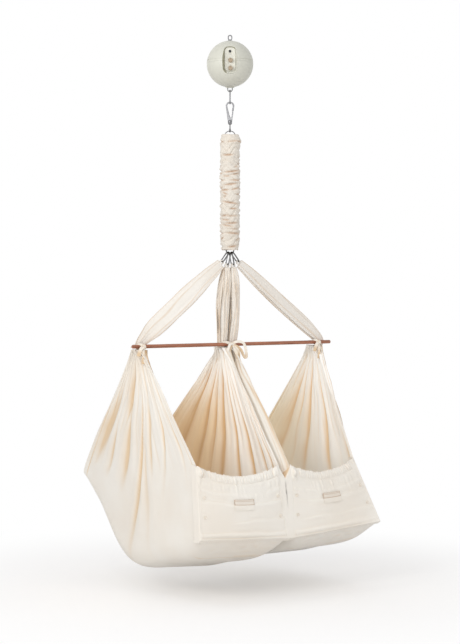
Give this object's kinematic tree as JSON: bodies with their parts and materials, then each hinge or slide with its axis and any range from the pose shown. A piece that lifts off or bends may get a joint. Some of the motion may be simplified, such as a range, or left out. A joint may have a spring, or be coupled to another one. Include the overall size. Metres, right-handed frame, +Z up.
{
  "type": "hanging twin baby cradle",
  "caption": "Hanging cradle: motor ball with eye, chain of hooks, covered extension spring and wooden spreader bar carrying paired cloth slings with front panels",
  "frame": {"origin": "the point inside the top eye where a ceiling hook bears", "axes": "+Z up, +X along the spreader bar to the viewer's right from the front, -Y towards the front panels"},
  "size_m": [0.816, 0.7601, 1.7964],
  "materials": {
    "shell": "moulded off-white, slightly satin",
    "band": "moulded light grey",
    "knob": "moulded warm grey",
    "dark_plastic": "moulded black",
    "board": "green glass-fibre laminate",
    "steel": "zinc-plated steel",
    "dark_steel": "darker plated steel",
    "webbing": "woven polyester",
    "cotton": "undyed woven cotton",
    "tape": "woven cotton tape",
    "padded_cotton": "smooth cotton",
    "button": "polished shell-like plastic",
    "wood": "oiled reddish-brown hardwood"
  },
  "bodies": {
    "motor": {"hanger_eye": "steel", "eye_nut": "steel", "housing_upper": "shell", "seam_band": "band", "housing_lower": "shell", "control_panel": "shell", "power_inlet": "dark_plastic", "circuit_board": "board", "chassis": "steel", "gear_motor": "dark_steel", "loop_guide": "dark_plastic"},
    "speed_dial": {"speed_knob": "knob"},
    "strength_dial": {"strength_knob": "knob"},
    "drum": {"winch_drum": "steel"},
    "lift": {"lift_strap": "webbing", "lift_loop": "dark_steel"},
    "link": {"upper_carabiner": "steel"},
    "link_gate": {"upper_carabiner_gate": "steel"},
    "hook": {"snap_hook": "steel"},
    "hook_gate": {"snap_gate": "steel"},
    "swivel": {"swivel_eye": "dark_steel", "top_ring": "steel", "spring": "steel", "spring_cover": "cotton"},
    "lower_ring": {"bottom_ring": "dark_steel"},
    "cradle": {"carabiner_1": "dark_steel", "carabiner_2": "dark_steel", "carabiner_3": "dark_steel", "carabiner_4": "dark_steel", "strap_left": "cotton", "strap_centre_left": "cotton", "strap_centre_right": "cotton", "strap_right": "cotton", "spreader_bar": "wood", "tie_left": "tape", "tie_centre": "tape", "tie_right": "tape", "left_sling": "cotton", "right_sling": "cotton", "left_front_panel": "cotton", "right_front_panel": "cotton", "left_mattress": "padded_cotton", "right_mattress": "padded_cotton", "left_label": "padded_cotton", "right_label": "padded_cotton", "left_button_1": "button", "left_button_2": "button", "left_button_3": "button", "left_button_4": "button", "right_button_1": "button", "right_button_2": "button", "right_button_3": "button", "right_button_4": "button"},
    "clip_gate_1": {"carabiner_gate_1": "steel"},
    "clip_gate_2": {"carabiner_gate_2": "steel"},
    "clip_gate_3": {"carabiner_gate_3": "steel"},
    "clip_gate_4": {"carabiner_gate_4": "steel"}
  },
  "joints": [
    {"name": "lift", "type": "slide", "parent": "motor", "child": "lift", "axis": [0, 0, 1], "range_m": [0, 0.005]},
    {"name": "drum_spin", "type": "hinge", "parent": "motor", "child": "drum", "pos_m": [0.00651, 0.0093, -0.0898], "axis": [0.8192, -0.5736, 0], "range_deg": [-26, 0]},
    {"name": "speed_turn", "type": "hinge", "parent": "motor", "child": "speed_dial", "pos_m": [-0.03319, -0.05001, -0.0888], "axis": [-0.5736, -0.8192, 0], "range_deg": [-135, 135]},
    {"name": "strength_turn", "type": "hinge", "parent": "motor", "child": "strength_dial", "pos_m": [-0.03319, -0.05001, -0.1152], "axis": [-0.5736, -0.8192, 0], "range_deg": [-135, 135]},
    {"name": "link_swing", "type": "hinge", "parent": "lift", "child": "link", "pos_m": [0, 0, -0.18805], "axis": [0.8192, -0.5736, 0], "range_deg": [-20, 20]},
    {"name": "link_gate_turn", "type": "hinge", "parent": "link", "child": "link_gate", "pos_m": [0.00562, 0.00803, -0.2164], "axis": [0.8192, -0.5736, 0], "range_deg": [0, 30], "stiffness_Nm_per_rad": 0.05, "springref_deg": -22.92},
    {"name": "hook_swing", "type": "hinge", "parent": "link", "child": "hook", "pos_m": [0, 0, -0.2292], "axis": [0.5736, 0.8192, 0], "range_deg": [-20, 20]},
    {"name": "hook_gate_turn", "type": "hinge", "parent": "hook", "child": "hook_gate", "pos_m": [0.00533, -0.00373, -0.2777], "axis": [-0.5736, -0.8192, 0], "range_deg": [0, 20], "stiffness_Nm_per_rad": 0.05, "springref_deg": -22.92},
    {"name": "swivel_turn", "type": "hinge", "parent": "hook", "child": "swivel", "pos_m": [0, 0, -0.3], "axis": [0, 0, 1], "continuous": true},
    {"name": "spring_travel", "type": "slide", "parent": "swivel", "child": "lower_ring", "axis": [0, 0, -1], "range_m": [0, 0.15], "stiffness_N_per_m": 500, "springref_m": -0.16, "deforming": ["spring", "spring_cover"]},
    {"name": "cradle_rock", "type": "hinge", "parent": "lower_ring", "child": "cradle", "pos_m": [0, 0, -0.7374], "axis": [1, 0, 0], "range_deg": [-20, 20]},
    {"name": "clip_gate_turn_1", "type": "hinge", "parent": "cradle", "child": "clip_gate_1", "pos_m": [-0.02612, 0.009, -0.75365], "axis": [0.7771, 0, -0.6293], "range_deg": [0, 30], "stiffness_Nm_per_rad": 0.04, "springref_deg": -22.92},
    {"name": "clip_gate_turn_2", "type": "hinge", "parent": "cradle", "child": "clip_gate_2", "pos_m": [-0.00933, 0.009, -0.76184], "axis": [0.9744, 0, -0.225], "range_deg": [0, 30], "stiffness_Nm_per_rad": 0.04, "springref_deg": -22.92},
    {"name": "clip_gate_turn_3", "type": "hinge", "parent": "cradle", "child": "clip_gate_3", "pos_m": [0.00933, 0.009, -0.76184], "axis": [0.9744, 0, 0.225], "range_deg": [0, 30], "stiffness_Nm_per_rad": 0.04, "springref_deg": -22.92},
    {"name": "clip_gate_turn_4", "type": "hinge", "parent": "cradle", "child": "clip_gate_4", "pos_m": [0.02612, 0.009, -0.75365], "axis": [0.7771, 0, 0.6293], "range_deg": [0, 30], "stiffness_Nm_per_rad": 0.04, "springref_deg": -22.92}
  ],
  "couplings": [
    {"joint": "drum_spin", "follows": "lift", "rad_per_m": -88.1}
  ]
}
